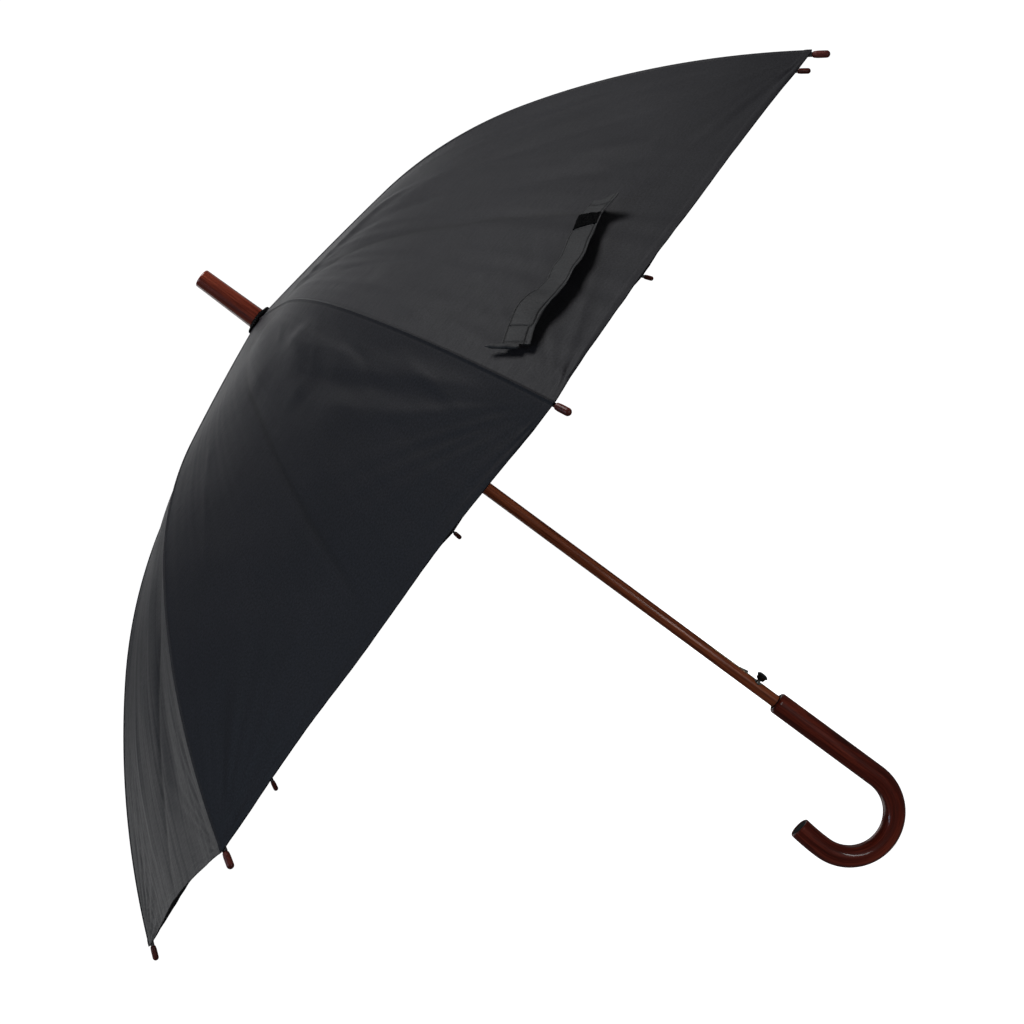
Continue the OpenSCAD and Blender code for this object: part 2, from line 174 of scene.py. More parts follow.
def grid_faces(rows, cols, first=0, flip=False, closed=False):
    """Quads of a grid of points, row by row. A closed grid joins its last column to its first."""
    j, k = np.meshgrid(np.arange(rows - 1), np.arange(cols if closed else cols - 1), indexing="ij")
    a = (j * cols + k).ravel() + first
    b = (j * cols + (k + 1) % cols).ravel() + first
    quads = np.stack([a, b, b + cols, a + cols], axis=1)
    return quads[:, ::-1] if flip else quads


def twice(values):
    """One value per point of a grid, for both faces of its sheet."""
    return np.concatenate([values.ravel(), values.ravel()])


def follow_fold(obj):
    """Bakes a mesh's transform into its points."""
    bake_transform(obj)


def border_of(rows, cols):
    """Indices of a grid's outer points, in order round it."""
    first, last = np.arange(cols), (rows - 1) * cols + np.arange(cols)
    side = np.arange(rows) * cols
    return np.concatenate([first[:-1], (side + cols - 1)[:-1], last[:0:-1], side[:0:-1]])


def new_object(name, points, faces, material, sharp=50):
    """A shaded mesh object made of points and faces."""
    mesh = bpy.data.meshes.new(name)
    mesh.from_pydata(np.asarray(points).tolist(), [], [list(map(int, f)) for f in faces])
    mesh.validate()
    mesh.shade_smooth()
    mesh.set_sharp_from_angle(angle=math.radians(sharp))
    made = bpy.data.objects.new(name, mesh)
    bpy.context.scene.collection.objects.link(made)
    mesh.materials.append(material)
    return made


def shell(name, top, bottom, material):
    """A closed sheet between two grids of points, each rows x cols x 3, top facing outwards."""
    rows, cols = top.shape[:2]
    count = rows * cols
    ring = border_of(rows, cols)
    after = np.roll(ring, -1)
    rim = np.stack([after, ring, ring + count, after + count], axis=1)
    faces = np.concatenate([grid_faces(rows, cols), grid_faces(rows, cols, count, flip=True), rim])
    points = np.concatenate([top.reshape(-1, 3), bottom.reshape(-1, 3)])
    return new_object(name, points, faces, material)


def fix_normals(obj):
    """Turns all faces of a mesh outwards."""
    mesh = bmesh.new()
    mesh.from_mesh(obj.data)
    bmesh.ops.recalc_face_normals(mesh, faces=mesh.faces)
    mesh.to_mesh(obj.data)
    mesh.free()


def add_uv(obj, uv):
    """Sets a UV map from one (u, v) pair per vertex."""
    mesh = obj.data
    layer = mesh.uv_layers.new(name="cloth")
    index = np.zeros(len(mesh.loops), np.int32)
    mesh.loops.foreach_get("vertex_index", index)
    layer.data.foreach_set("uv", np.asarray(uv, np.float32)[index].ravel())


def add_value(obj, name, values):
    """Stores one number per vertex, which the materials read."""
    layer = obj.data.attributes.new(name, "FLOAT", "POINT")
    layer.data.foreach_set("value", np.asarray(values, np.float32).ravel())


def lathe(name, profile, material, sides, wobble):
    """Turns a closed profile of (radius, z) points about the shaft's axis. wobble moves them."""
    profile = np.asarray(profile, float)
    turn = np.linspace(0, math.tau, sides, endpoint=False)
    r = np.repeat(profile[:, :1], sides, axis=1)
    z = np.repeat(profile[:, 1:], sides, axis=1)
    t = np.repeat(turn[None, :], len(profile), axis=0)
    r, z = wobble(r, z, t)
    points = np.stack([r * np.cos(t), r * np.sin(t), z], axis=-1)
    closed = np.concatenate([points, points[:1]])
    faces = grid_faces(len(closed), sides, closed=True) % (len(profile) * sides)
    return new_object(name, points.reshape(-1, 3), faces, material, 40)


def sines(x, seed, low, high, count=5):
    """A sum of sine waves of x with wavelengths from low to high, about -1 to 1."""
    rng = np.random.default_rng(seed)
    total = np.zeros_like(np.asarray(x, float))
    for _ in range(count):
        total += np.sin(math.tau * (x / rng.uniform(low, high) + rng.random()))
    return total / math.sqrt(2 * count)


def swell(u, v, seed, low, high):
    """A sum of plane waves over u and v, in random directions, about -1 to 1."""
    rng = np.random.default_rng(seed)
    total = np.zeros_like(u)
    count = 6
    for _ in range(count):
        way, length = rng.uniform(0, math.tau), rng.uniform(low, high)
        along = u * math.cos(way) + v * math.sin(way)
        total += np.sin(math.tau * (along / length + rng.random()))
    return total / math.sqrt(2 * count)


# ---------------------------------------------------------------- node helpers


def node(tree, kind, inputs=None, **settings):
    """A shader node with its settings and inputs, each a plain value or another node's socket."""
    made = tree.nodes.new(kind)
    for key, value in settings.items():
        setattr(made, key, value)
    for key, value in (inputs or {}).items():
        if isinstance(value, bpy.types.NodeSocket):
            tree.links.new(value, made.inputs[key])
        else:
            made.inputs[key].default_value = value
    return made


def math_node(tree, operation, a, b=0.0):
    return node(tree, "ShaderNodeMath", {0: a, 1: b}, operation=operation).outputs[0]


def weighted(tree, a, share_a, b, share_b):
    """The sum of two factors, each times its share."""
    parts = [math_node(tree, "MULTIPLY", a, share_a), math_node(tree, "MULTIPLY", b, share_b)]
    return math_node(tree, "ADD", *parts)


def mapped(tree, vector, scale):
    """Coordinates stretched by a scale for each axis."""
    inputs = {"Vector": vector, "Scale": scale}
    return node(tree, "ShaderNodeMapping", inputs).outputs["Vector"]


def noise(tree, vector, scale, detail=3.0, rough=0.5):
    inputs = {"Vector": vector, "Scale": scale, "Detail": detail, "Roughness": rough}
    return node(tree, "ShaderNodeTexNoise", inputs).outputs["Fac"]


def ramp(tree, factor, stops):
    """Colour ramp through (place, colour) stops."""
    made = node(tree, "ShaderNodeValToRGB", {"Fac": factor})
    band = made.color_ramp
    while len(band.elements) < len(stops):
        band.elements.new(0.5)
    for element, (place, colour) in zip(band.elements, stops):
        element.position = place
        element.color = (*colour, 1)
    return made.outputs["Color"]


def spread(tree, factor, low, high):
    """Maps a factor of 0 to 1 onto low to high."""
    inputs = {"Value": factor, "To Min": low, "To Max": high}
    return node(tree, "ShaderNodeMapRange", inputs).outputs["Result"]


def mix(tree, factor, a, b, blend="MIX"):
    """Colour a with a factor of colour b mixed in."""
    made = node(tree, "ShaderNodeMix", data_type="RGBA", blend_type=blend)
    for index, value in ((0, factor), (6, a), (7, b)):
        if isinstance(value, bpy.types.NodeSocket):
            tree.links.new(value, made.inputs[index])
        else:
            made.inputs[index].default_value = value if index == 0 else (*value, 1)
    return made.outputs[2]


def bump(tree, height, strength, distance, normal=None):
    inputs = {"Height": height, "Strength": strength, "Distance": distance}
    if normal:
        inputs["Normal"] = normal
    return node(tree, "ShaderNodeBump", inputs).outputs["Normal"]


def new_material(name, **settings):
    """A Principled material. Returns it with its node tree and its shader."""
    made = bpy.data.materials.new(name)
    made.use_nodes = True
    tree = made.node_tree
    shader = tree.nodes["Principled BSDF"]
    for key, value in settings.items():
        shader.inputs[key.replace("_", " ")].default_value = value
    return made, tree, shader


def wire_up(tree, shader, **sockets):
    """Links nodes' outputs to a shader's inputs."""
    for key, socket in sockets.items():
        tree.links.new(socket, shader.inputs[key.replace("_", " ")])


def object_place(tree):
    return node(tree, "ShaderNodeTexCoord").outputs["Object"]


def cloth_place(tree):
    return node(tree, "ShaderNodeUVMap", uv_map="cloth").outputs["UV"]


def attribute(tree, name):
    return node(tree, "ShaderNodeAttribute", attribute_name=name).outputs["Fac"]


# ---------------------------------------------------------------- materials


def cloth_material(name, dark, light, strength=1.0):
    """Plain weave with faint slubs, sewn lines where a mesh marks them, and painted shade along the crease lines
    that a mesh marks.
    """
    made, tree, shader = new_material(
        name, Roughness=0.62, Specular_IOR_Level=0.20, Sheen_Weight=0.03, Sheen_Roughness=0.4
    )
    place = cloth_place(tree)
    inputs = {
        "Vector": place, "Scale": 480.0, "Distortion": 0.6, "Detail": 1.0, "Detail Scale": 0.4
    }
    waves = [
        node(tree, "ShaderNodeTexWave", inputs, wave_type="BANDS", bands_direction=axis)
        for axis in "XY"
    ]
    threads = [wave.outputs["Fac"] for wave in waves]
    weave = math_node(tree, "MULTIPLY", threads[0], threads[1])
    slubs = noise(tree, mapped(tree, place, (60, 900, 1)), 1.0, 2.0)
    cloud = noise(tree, place, 9.0, 4.0, 0.6)
    fine = noise(tree, place, 650.0, 3.0, 0.7)
    shade = weighted(tree, cloud, 0.7, slubs, 0.3)
    base = ramp(tree, shade, [(0.3, dark), (0.7, light)])
    base = mix(tree, math_node(tree, "MULTIPLY", weave, 0.25), base, [c * 1.25 for c in light])
    grain = ramp(tree, fine, [(0.36, (0.35, 0.35, 0.35)), (0.64, (1.35, 1.35, 1.35))])
    base = mix(tree, 0.8, base, grain, "MULTIPLY")
    sewn = attribute(tree, "sewn")
    run = math_node(tree, "FRACT", attribute(tree, "sewn_along"))
    dashes = math_node(tree, "LESS_THAN", run, 0.72)
    thread = math_node(tree, "MULTIPLY", math_node(tree, "GREATER_THAN", sewn, 0.5), dashes)
    base = mix(tree, spread(tree, sewn, 0.0, 0.6), base, [c * 0.3 for c in dark])
    base = mix(tree, thread, base, (0.0006, 0.0006, 0.0008))
    # Painted shade: the cloth is darkened along the marked crease, where a fold's shadow would lie.
    crease_shade = attribute(tree, "crease_shade")
    base = mix(tree, spread(tree, crease_shade, 0.0, 0.4), base, [c * 0.1 for c in dark])
    folds = bump(tree, noise(tree, place, 34.0, 3.0, 0.55), 0.10 * strength, 3 * MM)
    normal = bump(tree, weave, 0.12, 0.1 * MM, folds)
    normal = bump(tree, fine, 0.55, 0.15 * MM, normal)
    normal = bump(tree, thread, 0.6, 0.25 * MM, normal)
    rough = spread(tree, slubs, 0.52, 0.74)
    wire_up(tree, shader, Base_Color=base, Normal=normal, Roughness=rough)
    return made


def wood_material(name, colours, along, grain=1.0, coat=0.9, gloss=0.12, from_uv=False):
    """Lacquered wood with streaks and pores. along is the axis of the grain."""
    made, tree, shader = new_material(
        name, Coat_Weight=coat, Coat_Roughness=gloss, Coat_IOR=1.4, Specular_IOR_Level=0.12
    )
    place = cloth_place(tree) if from_uv else object_place(tree)
    slow, fast, pore = (
        tuple(length if axis == along else width for axis in "XYZ")
        for width, length in ((260 * grain, 9), (900 * grain, 22), (2600 * grain, 70))
    )
    streaks = noise(tree, mapped(tree, place, slow), 1.0, 4.0, 0.65)
    lines = noise(tree, mapped(tree, place, fast), 1.0, 3.0, 0.6)
    pores = noise(tree, mapped(tree, place, pore), 1.0, 2.0, 0.5)
    tone = weighted(tree, streaks, 0.62, lines, 0.38)
    dark, middle, light = colours
    base = ramp(tree, tone, [(0.34, dark), (0.5, middle), (0.66, light)])
    pitted = ramp(tree, pores, [(0.30, (0, 0, 0)), (0.42, (1, 1, 1))])
    base = mix(tree, 0.45, base, pitted, "MULTIPLY")
    wear = noise(tree, place, 120.0, 3.0, 0.6)
    normal = bump(tree, lines, 0.12, 0.2 * MM)
    normal = bump(tree, pores, 0.10, 0.05 * MM, normal)
    rough = spread(tree, wear, 0.28, 0.48)
    wire_up(tree, shader, Base_Color=base, Normal=normal, Roughness=rough)
    return made


def metal_material(name, colour, rough, stretch=(1, 1, 1), metallic=1.0, worn=None):
    """Metal with fine drawn lines and faint stains. worn is the colour of bare spots, if any."""
    level = 0.5 if metallic else 0.08
    made, tree, shader = new_material(name, Metallic=metallic, Specular_IOR_Level=level)
    place = object_place(tree)
    lines = noise(tree, mapped(tree, place, tuple(s * 900 for s in stretch)), 1.0, 4.0, 0.6)
    stain = noise(tree, place, 70.0, 4.0, 0.6)
    base = ramp(tree, stain, [(0.3, [c * 0.72 for c in colour]), (0.7, colour)])
    base = mix(tree, spread(tree, lines, 0.0, 0.5), base, [min(1.0, c * 1.18) for c in colour])
    if worn:
        speckle = noise(tree, place, 380.0, 5.0, 0.75)
        spots = ramp(tree, speckle, [(0.66, (0, 0, 0)), (0.72, (1, 1, 1))])
        base = mix(tree, spots, base, worn)
    normal = bump(tree, lines, 0.08, 0.1 * MM)
    finish = spread(tree, lines, rough * 0.75, rough * 1.3)
    wire_up(tree, shader, Base_Color=base, Normal=normal, Roughness=finish)
    return made


def plastic_material(name, colour, rough, coat=0.0):
    """Moulded plastic with a faint orange peel and fine scuffs."""
    made, tree, shader = new_material(
        name, Specular_IOR_Level=0.08, Coat_Weight=coat, Coat_Roughness=0.1
    )
    place = object_place(tree)
    peel = noise(tree, place, 900.0, 2.0)
    scuff = noise(tree, mapped(tree, place, (300, 1200, 300)), 1.0, 5.0, 0.7)
    dark, light = [c * 0.8 for c in colour], [c * 1.5 for c in colour]
    base = ramp(tree, scuff, [(0.35, dark), (0.75, light)])
    normal = bump(tree, peel, 0.12, 0.05 * MM)
    finish = spread(tree, scuff, rough * 0.8, rough * 1.3)
    wire_up(tree, shader, Base_Color=base, Normal=normal, Roughness=finish)
    return made


def pile_material(name):
    """A dense black pile of small hooks."""
    made, tree, shader = new_material(name, Roughness=0.8, Specular_IOR_Level=0.05)
    fuzz = noise(tree, object_place(tree), 1500.0, 4.0, 0.7)
    base = ramp(tree, fuzz, [(0.40, (0.0004, 0.0004, 0.0004)), (0.75, (0.005, 0.005, 0.0055))])
    wire_up(tree, shader, Base_Color=base, Normal=bump(tree, fuzz, 0.8, 0.4 * MM))
    return made


CLOTH = cloth_material("cloth", (0.0084, 0.0081, 0.0104), (0.0126, 0.0121, 0.0154))
STRAP_CLOTH = cloth_material(
    "strap_cloth", (0.0140, 0.0140, 0.0150), (0.0200, 0.0200, 0.0212), strength=0.6
)
HANDLE_WOOD = wood_material(
    "handle_wood", ((0.050, 0.0060, 0.0030), (0.150, 0.0190, 0.0095), (0.340, 0.0550, 0.0280)),
    "Y", grain=0.8, coat=0.6, gloss=0.08, from_uv=True,
)
SHAFT_WOOD = wood_material(
    "shaft_wood", ((0.100, 0.0220, 0.0090), (0.360, 0.0850, 0.0320), (0.640, 0.1800, 0.0700)),
    "Z", coat=0.35, gloss=0.16,
)
FERRULE_WOOD = wood_material(
    "ferrule_wood", ((0.050, 0.0070, 0.0036), (0.180, 0.0260, 0.0125), (0.380, 0.0760, 0.0360)),
    "Z", coat=0.9, gloss=0.14,
)
TIP_WOOD = wood_material(
    "tip_wood", ((0.025, 0.0055, 0.0040), (0.090, 0.0190, 0.0140), (0.170, 0.0450, 0.0330)),
    "Z", grain=0.6, coat=0.2, gloss=0.3,
)
BLACK_PLASTIC = plastic_material("black_plastic", (0.0016, 0.0016, 0.0018), 0.65)
BUTTON_PLASTIC = plastic_material("button_plastic", (0.008, 0.008, 0.009), 0.25, coat=0.5)
BLACK_METAL = metal_material(
    "black_metal", (0.003, 0.003, 0.0034), 0.6, metallic=0.0, worn=(0.02, 0.02, 0.02)
)
BRIGHT_STEEL = metal_material("bright_steel", (0.75, 0.74, 0.71), 0.22, (0.1, 1, 1))
RIB_STEEL = metal_material(
    "rib_steel", (0.36, 0.36, 0.37), 0.34, (0.15, 0.15, 1), worn=(0.16, 0.15, 0.14)
)
BRASS = metal_material("brass", (0.60, 0.40, 0.16), 0.3, (1, 1, 0.1))
HOOK_PILE = pile_material("hook_pile")

SLOT_MATERIALS = {
    "shaft_wood": SHAFT_WOOD,
    "handle_wood": HANDLE_WOOD,
    "ferrule_wood": FERRULE_WOOD,
    "tip_wood": TIP_WOOD,
    "black_plastic": BLACK_PLASTIC,
    "button_plastic": BUTTON_PLASTIC,
    "black_metal": BLACK_METAL,
    "bright_steel": BRIGHT_STEEL,
    "rib_steel": RIB_STEEL,
    "brass": BRASS,
    "cloth": CLOTH,
    "strap_cloth": STRAP_CLOTH,
}


def finish_cad_nodes():
    """Gives each CAD node the material of its slot, and smooth shading between its edges."""
    slots = {part["node"]: part["material_slot"] for part in frame["record"]["subparts"]}
    for name, obj in NODES.items():
        obj.data.materials.clear()
        obj.data.materials.append(SLOT_MATERIALS[slots[name]])
        obj.data.shade_smooth()
        obj.data.set_sharp_from_angle(angle=math.radians(35))


# ---------------------------------------------------------------- canopy

ROWS, HEM_ROWS = 170, 8
COLS, SEAM_COLS = 150, 9


def panel_grid(i):
    """Length and share of a panel's points: a grid that is fine at the hem and beside the seams."""
    split = 1 - 1.15 * HEM_W / CLOTH_LEN
    down = np.concatenate([np.linspace(0, split, ROWS)[:-1], np.linspace(split, 1, HEM_ROWS)])
    zone = np.minimum(SEAM_ZONE / chord(CLOTH_LEN * down), 0.2)[:, None]
    side = np.linspace(0, 1, SEAM_COLS)[None, :-1]
    middle = np.linspace(0, 1, COLS - 2 * (SEAM_COLS - 1))[None, :]
    share = np.concatenate(
        [zone * side, zone + (1 - 2 * zone) * middle, 1 - (zone * side)[:, ::-1]], axis=1
    )
    return hem(i, share) * down[:, None], share


def crease(u, v, path, height, width, kink=0.0):
    """A fold along a path of (u, v) points: a round ridge, or a sharp one as kink nears 1."""
    best = np.full(u.shape, 1e9)
    place = np.zeros(u.shape)
    lengths = [math.dist(a, b) for a, b in zip(path, path[1:])]
    total, done = sum(lengths), 0.0
    for (a, b), length in zip(zip(path, path[1:]), lengths):
        du, dv = (b[0] - a[0]) / length, (b[1] - a[1]) / length
        along = np.clip((u - a[0]) * du + (v - a[1]) * dv, 0, length)
        away = np.hypot(u - a[0] - along * du, v - a[1] - along * dv)
        nearer = away < best
        best = np.where(nearer, away, best)
        place = np.where(nearer, (done + along) / total, place)
        done += length
    ends = smooth(place, 0.0, 0.22) * (1 - smooth(place, 0.78, 1.0))
    round_fold = np.exp(-((best / width) ** 2))
    sharp_fold = np.exp(-best / width)
    return height * ends * (round_fold * (1 - kink) + sharp_fold * kink)


# Folds pressed in by packing and by pull: panel, height and width in mm, kink, then places as
# (length from the crown in mm, share across).
FOLDS = [
    (7, -1.5, 13, 0.9,
     [(120, 0.03), (166, 0.12), (217, 0.24), (273, 0.33), (393, 0.396), (590, 0.49)]),
    (7, 1.8, 7, 0.4, [(120, 0.10), (180, 0.24), (215, 0.50), (240, 0.64), (290, 0.68)]),
    (7, 2.0, 18, 0.2, [(150, 0.03), (250, 0.06), (350, 0.07)]),
    (7, 1.8, 16, 0.2, [(325, 0.17), (380, 0.11), (450, 0.05)]),
    (7, 1.1, 12, 0.4, [(440, 0.66), (510, 0.70), (575, 0.88)]),
    (7, -1.1, 11, 0.4, [(390, 0.52), (490, 0.60), (565, 0.78)]),
    (7, 1.2, 14, 0.3, [(250, 0.55), (340, 0.72), (450, 0.86)]),
    (7, -0.9, 8, 0.3, [(190, 0.42), (260, 0.50), (330, 0.55), (400, 0.56)]),
    (6, -1.4, 13, 0.9, [(100, 0.66), (212, 0.60), (334, 0.563), (506, 0.52), (590, 0.50)]),
    (6, 2.2, 15, 0.3, [(340, 0.80), (400, 0.86), (470, 0.92), (550, 0.975)]),
    (6, -1.7, 11, 0.3, [(310, 0.74), (380, 0.80), (470, 0.88), (555, 0.96)]),
    (6, 1.5, 12, 0.5, [(380, 0.72), (460, 0.82), (555, 0.94)]),
    (6, 2.0, 17, 0.1, [(280, 0.90), (330, 0.78), (370, 0.72)]),
    (6, 1.2, 10, 0.5, [(260, 0.83), (320, 0.85), (400, 0.90)]),
    (6, 1.4, 20, 0.1, [(150, 0.80), (220, 0.70), (300, 0.62)]),
    (6, -1.0, 10, 0.3, [(480, 0.14), (525, 0.08), (570, 0.02)]),
    (6, 0.8, 12, 0.3, [(430, 0.30), (500, 0.18), (565, 0.06)]),
    (6, 0.5, 4, 0.6, [(75, 0.62), (110, 0.72), (150, 0.83)]),
    (6, -0.5, 4, 0.6, [(120, 0.60), (170, 0.70), (215, 0.76)]),
    (6, 0.6, 4.5, 0.6, [(190, 0.93), (240, 0.86), (275, 0.78)]),
    (6, 0.6, 5, 0.6, [(300, 0.95), (335, 0.86), (360, 0.76)]),
    (6, -0.6, 4.5, 0.6, [(350, 0.93), (400, 0.90), (450, 0.84)]),
    (6, 0.6, 4.5, 0.6, [(420, 0.96), (480, 0.93), (540, 0.90)]),
    (6, 0.5, 5, 0.5, [(250, 0.30), (330, 0.24), (400, 0.20)]),
    (7, 0.5, 4, 0.6, [(140, 0.20), (190, 0.30), (230, 0.36)]),
    (7, -0.5, 4.5, 0.6, [(260, 0.18), (310, 0.22), (370, 0.24)]),
    (7, 0.5, 4.5, 0.6, [(430, 0.10), (480, 0.06), (550, 0.03)]),
    (7, 0.6, 5, 0.6, [(300, 0.80), (380, 0.88), (450, 0.93)]),
    (7, -0.5, 5, 0.6, [(330, 0.64), (420, 0.74), (500, 0.82)]),
    (5, -1.4, 8, 0.9, [(200, 0.95), (365, 0.82), (487, 0.616), (565, 0.466), (590, 0.43)]),
    (5, -3.2, 28, 0.2, [(120, 0.78), (300, 0.80), (420, 0.78), (560, 0.72)]),
    (5, 0.8, 9, 0.3, [(300, 0.30), (400, 0.34), (560, 0.36)]),
]
PLAIN_FOLD = (-1.2, 12, 0.85, [(110, 0.38), (250, 0.45), (400, 0.49), (590, 0.50)])


# Width of the painted dark line of shade along a panel's sharpest crease.
CREASE_SHADE_W = 2.8 * MM


def folds_of(i):
    """Height, width, kink and places of each fold in panel i, first the one whose crease gets painted shade."""
    return [fold[1:] for fold in FOLDS if fold[0] == i] or [PLAIN_FOLD]


def fold_path(places):
    """Points (across from the panel's middle, length from the crown) of a fold, in metres."""
    return [((s - 0.5) * float(chord(mm * MM)), mm * MM) for mm, s in places]


def fold_height(i, length, share):
    """All folds of panel i, in metres."""
    u = (share - 0.5) * chord(length)
    total = np.zeros_like(u)
    for height, width, kink, places in folds_of(i):
        total += crease(u, length, fold_path(places), height * MM, width * MM, kink)
    return total


def crease_shade_line(i, length, share):
    """1 along panel i's sharpest fold: a line of painted shade that the cloth material darkens into the crease."""
    path = fold_path(folds_of(i)[0][-1])
    return np.abs(crease((share - 0.5) * chord(length), length, path, 1.0, CREASE_SHADE_W))


def star(length, share, corner, seed):
    """Fine pleats that run out of a panel's corner: 0 on its first rib, 1 on its second."""
    u = (share - corner) * chord(length)
    v = CLOTH_LEN - length
    far = np.hypot(u, v)
    way = np.arctan2(np.abs(u), np.maximum(v, 1e-6))
    fade = smooth(far, 4 * MM, 26 * MM) * np.exp(-far / (70 * MM))
    return 0.9 * MM * sines(way, seed, 0.12, 0.34) * fade


def panel_height(i, length, share):
    """How far the cloth of panel i stands off its ruled surface."""
    width = chord(length)
    u = (share - 0.5) * width
    seam = np.minimum(share, 1 - share) * width
    free = smooth(seam, 1.5 * MM, 26 * MM)
    crown = np.exp(-length / (60 * MM))
    hang = smooth(length, 150 * MM, 350 * MM)
    gathers = 0.10 if i in (5, 6) else 0.20
    height = 1.5 * MM * swell(u, length, 100 + i, 0.16, 0.36)
    height += 0.35 * MM * swell(u, length, 200 + i, 0.05, 0.11) * hang
    height += gathers * MM * sines(share, 300 + i, 0.035, 0.12, 7) * smooth(length, 0.05, 0.25)
    height += 4.5 * gathers * MM * sines(share, 400 + i, 0.10, 0.30) * crown
    height += star(length, share, 0, 500 + i) + star(length, share, 1, 600 + i)
    height += fold_height(i, length, share)
    if i == 5:
        height += 0.14 * MM * sines(share, 700, 0.018, 0.06, 9) * smooth(length, 0.2, 0.5)
    return height * free + SEAM_H * np.exp(-((seam / SEAM_W) ** 2))


def make_panel(i):
    """One cloth panel, a closed sheet from rib i to the next."""
    length, share = panel_grid(i)
    width = chord(length)
    seam = np.minimum(share, 1 - share) * width
    to_hem = hem(i, share) - length
    height = panel_height(i, length, share)
    band = HEM_H * (1 - smooth(to_hem, HEM_W - 0.8 * MM, HEM_W))
    stitch = 0.1 * MM * np.exp(-(((to_hem - HEM_STITCH) / (0.7 * MM)) ** 2))
    groove = 0.2 * MM * np.exp(-(((seam - SEAM_STITCH) / (0.5 * MM)) ** 2))
    top = on_cloth(i, length, share, height + band - stitch - groove)
    bottom = on_cloth(i, length, share, height - CLOTH_T - band)
    made = shell(f"canopy_panel_{i}", top, bottom, CLOTH)
    u = (share - 0.5) * width
    add_uv(made, np.stack([twice(u), twice(length)], axis=1))
    by_seam = np.exp(-(((seam - SEAM_STITCH) / (0.4 * MM)) ** 2))
    by_hem = 0.4 * np.exp(-(((to_hem - HEM_STITCH) / (0.6 * MM)) ** 2))
    add_value(made, "sewn", twice(np.maximum(by_seam, by_hem)))
    run = np.where(by_hem > by_seam, u + 1, length) / (2.6 * MM)
    add_value(made, "sewn_along", twice(run))
    # Marks the crease of the first fold, where the cloth material paints a line of shade.
    add_value(made, "crease_shade", twice(crease_shade_line(i, length, share)))
    follow_fold(made)
    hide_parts(f"gore_{i}")


# ---------------------------------------------------------------- tie strap

STRAP_HALF = 10.5 * MM
STRAP_T = 1.1 * MM
STRAP_STEPS = 400
# Places along the strap: length from the crown in mm, share across, lift in mm, and rise of the
# strap's hem side in mm.
STRAP_ROUTE = [
    (531.8, 0.070, 5.7, -1.4),
    (528.2, 0.113, 7.6, -1.0),
    (526.2, 0.150, 9.0, -1.8),
    (526.7, 0.185, 9.5, -0.5),
    (527.8, 0.212, 7.9, 1.0),
    (527.7, 0.246, 7.2, 1.4),
    (525.1, 0.283, 6.7, 1.4),
    (523.4, 0.320, 6.2, 1.2),
    (519.0, 0.357, 5.5, 1.1),
    (514.8, 0.399, 4.1, 1.7),
    (511.2, 0.442, 4.1, 1.3),
    (513.4, 0.478, 5.4, 2.2),
]


def spline(values, count):
    """Catmull-Rom curve through rows of values, at count points."""
    p = np.asarray(values, float)
    p = np.concatenate([[2 * p[0] - p[1]], p, [2 * p[-1] - p[-2]]])
    t = np.linspace(0, len(values) - 1, count)
    k = np.minimum(t.astype(int), len(values) - 2)
    f = (t - k)[:, None]
    a, b, c, d = p[k], p[k + 1], p[k + 2], p[k + 3]
    square, cube = 2 * a - 5 * b + 4 * c - d, 3 * b - a - 3 * c + d
    return 0.5 * (2 * b + (c - a) * f + square * f**2 + cube * f**3)


def strap_frame(count):
    """Centre line, widthwise and outward directions, length so far and share, along the strap."""
    route = spline(STRAP_ROUTE, count)
    place, share, lift, tilt = route[:, 0] * MM, route[:, 1], route[:, 2] * MM, route[:, 3] * MM
    centre = on_cloth(STRAP_PANEL, place, share, lift)
    outward = on_cloth(STRAP_PANEL, place, share, 1.0)
    outward = outward - on_cloth(STRAP_PANEL, place, share, 0.0)
    along = np.gradient(centre, axis=0)
    along /= np.linalg.norm(along, axis=1, keepdims=True)
    across = np.cross(along, outward)
    across /= np.linalg.norm(across, axis=1, keepdims=True)
    outward = np.cross(across, along)
    turn = (tilt / STRAP_HALF)[:, None]
    side = across * np.cos(turn) + outward * np.sin(turn)
    out = outward * np.cos(turn) - across * np.sin(turn)
    steps = np.linalg.norm(np.diff(centre, axis=0), axis=1)
    return centre, side, out, np.concatenate([[0], np.cumsum(steps)]), share


def strap_grid(low, high, count, half, lift, columns):
    """Points on the strap between two lengths, as a grid with the outward way of each row."""
    centre, side, out, length, share = strap_frame(STRAP_STEPS)
    at = np.linspace(low, high, count)
    pick = lambda rows: np.stack([np.interp(at, length, rows[:, k]) for k in range(3)], axis=1)
    centre, side, out = pick(centre), pick(side), pick(out)
    across = np.linspace(-1, 1, columns)[None, :, None]
    wave = 0.5 * MM * sines(at, 31, 0.02, 0.05)[:, None, None]
    twist = 0.35 * MM * sines(at, 32, 0.015, 0.04)[:, None, None] * across
    bow = 0.5 * MM * (1 - across**2) + twist
    points = centre[:, None] + side[:, None] * (across * half + wave) + out[:, None] * (bow + lift)
    by_end = (smooth(at, length[-1] - 13 * MM, length[-1]) ** 2)[:, None, None]
    corner = by_end * smooth(across, -0.3, 1)
    ahead = np.cross(out, side)[:, None]
    points += corner * (ahead * 6 + side[:, None] * 3.5 + out[:, None] * 2.5) * MM
    return points, out[:, None], at, np.interp(at, length, share)


